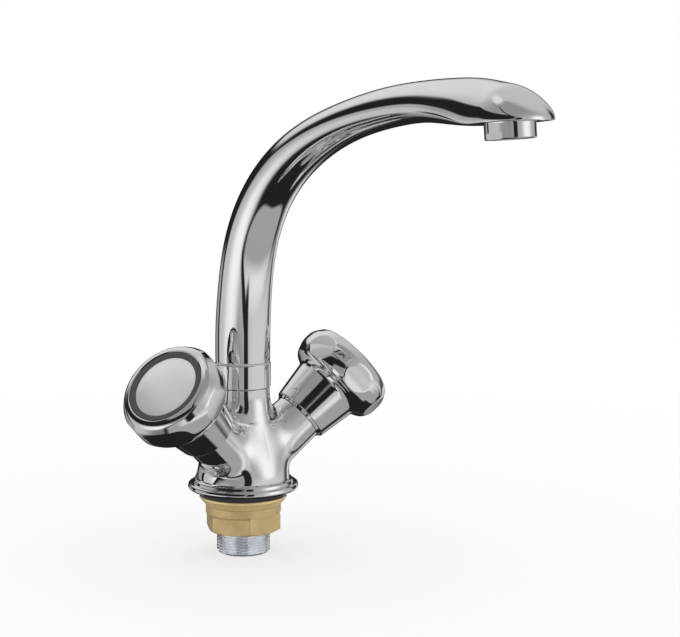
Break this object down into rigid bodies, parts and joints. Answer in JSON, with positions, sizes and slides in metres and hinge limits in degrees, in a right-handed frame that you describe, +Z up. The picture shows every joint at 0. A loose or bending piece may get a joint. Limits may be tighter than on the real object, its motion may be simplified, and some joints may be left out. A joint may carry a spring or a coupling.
{
  "type": "two handle kitchen faucet",
  "caption": "Deck mounted kitchen mixer tap with a swinging curved spout, spoon shaped head with nozzle, and raised faceted knobs over ceramic disc valves.",
  "frame": {"origin": "centre of the foot flange underside, on the shank axis, level with the top of the sink or worktop", "axes": "+Z up along the shank and spout swivel axis, -Y towards the user and along the spout at rest, hot knob on the -X side"},
  "size_m": [0.1562, 0.2352, 0.2489],
  "materials": {
    "chrome_body": "polished",
    "chrome_spout": "polished",
    "chrome_knob": "polished",
    "satin_cap": "satin",
    "ring_grey": "satin",
    "zinc_shank": "zinc plated",
    "brass": "turned",
    "black_rubber": "matte",
    "fibre": "matte",
    "white_plastic": "matte",
    "spring_steel": "satin",
    "disc_white": "lapped ceramic"
  },
  "bodies": {
    "faucet": {"body_casting": "chrome_body", "threaded_shank": "zinc_shank", "base_gasket": "black_rubber", "spout_collar": "chrome_body", "spout_glide_washer": "white_plastic", "hot_bonnet": "brass", "hot_fibre_washer": "fibre", "hot_seat_seal": "black_rubber", "hot_fixed_disc": "disc_white", "cold_bonnet": "brass", "cold_fibre_washer": "fibre", "cold_seat_seal": "black_rubber", "cold_fixed_disc": "disc_white"},
    "spout": {"spout_casting": "chrome_spout", "spout_tail": "brass", "spout_o_ring_lower": "black_rubber", "spout_o_ring_upper": "black_rubber", "spout_snap_ring": "white_plastic", "aerator_housing": "chrome_spout", "aerator_insert": "white_plastic", "aerator_washer": "black_rubber"},
    "washer": {"clamp_washer": "brass"},
    "nut": {"lock_nut": "brass"},
    "hot_handle": {"hot_knob": "chrome_knob", "hot_index_ring": "ring_grey", "hot_dome_cap": "satin_cap", "hot_knob_screw": "spring_steel", "hot_spindle": "brass", "hot_spindle_o_ring": "black_rubber", "hot_circlip": "spring_steel", "hot_moving_disc": "disc_white"},
    "cold_handle": {"cold_knob": "chrome_knob", "cold_index_ring": "ring_grey", "cold_dome_cap": "satin_cap", "cold_knob_screw": "spring_steel", "cold_spindle": "brass", "cold_spindle_o_ring": "black_rubber", "cold_circlip": "spring_steel", "cold_moving_disc": "disc_white"}
  },
  "joints": [
    {"name": "spout_swivel", "type": "hinge", "parent": "faucet", "child": "spout", "pos_m": [0, 0, 0.067], "axis": [0, 0, 1], "continuous": true},
    {"name": "hot_turn", "type": "hinge", "parent": "faucet", "child": "hot_handle", "pos_m": [-0.0444, -0.0119, 0.04707], "axis": [-0.7399, -0.1983, 0.6428], "range_deg": [0, 90]},
    {"name": "cold_turn", "type": "hinge", "parent": "faucet", "child": "cold_handle", "pos_m": [0.0444, -0.0119, 0.04707], "axis": [0.7399, -0.1983, 0.6428], "range_deg": [0, 90]},
    {"name": "nut_travel", "type": "slide", "parent": "faucet", "child": "washer", "axis": [0, 0, -1], "range_m": [0, 0.0105]},
    {"name": "nut_turn", "type": "hinge", "parent": "washer", "child": "nut", "pos_m": [0, 0, -0.015], "axis": [0, 0, -1], "range_deg": [0, 2521]}
  ],
  "couplings": [
    {"joint": "nut_turn", "follows": "nut_travel", "rad_per_m": 4188.8}
  ]
}
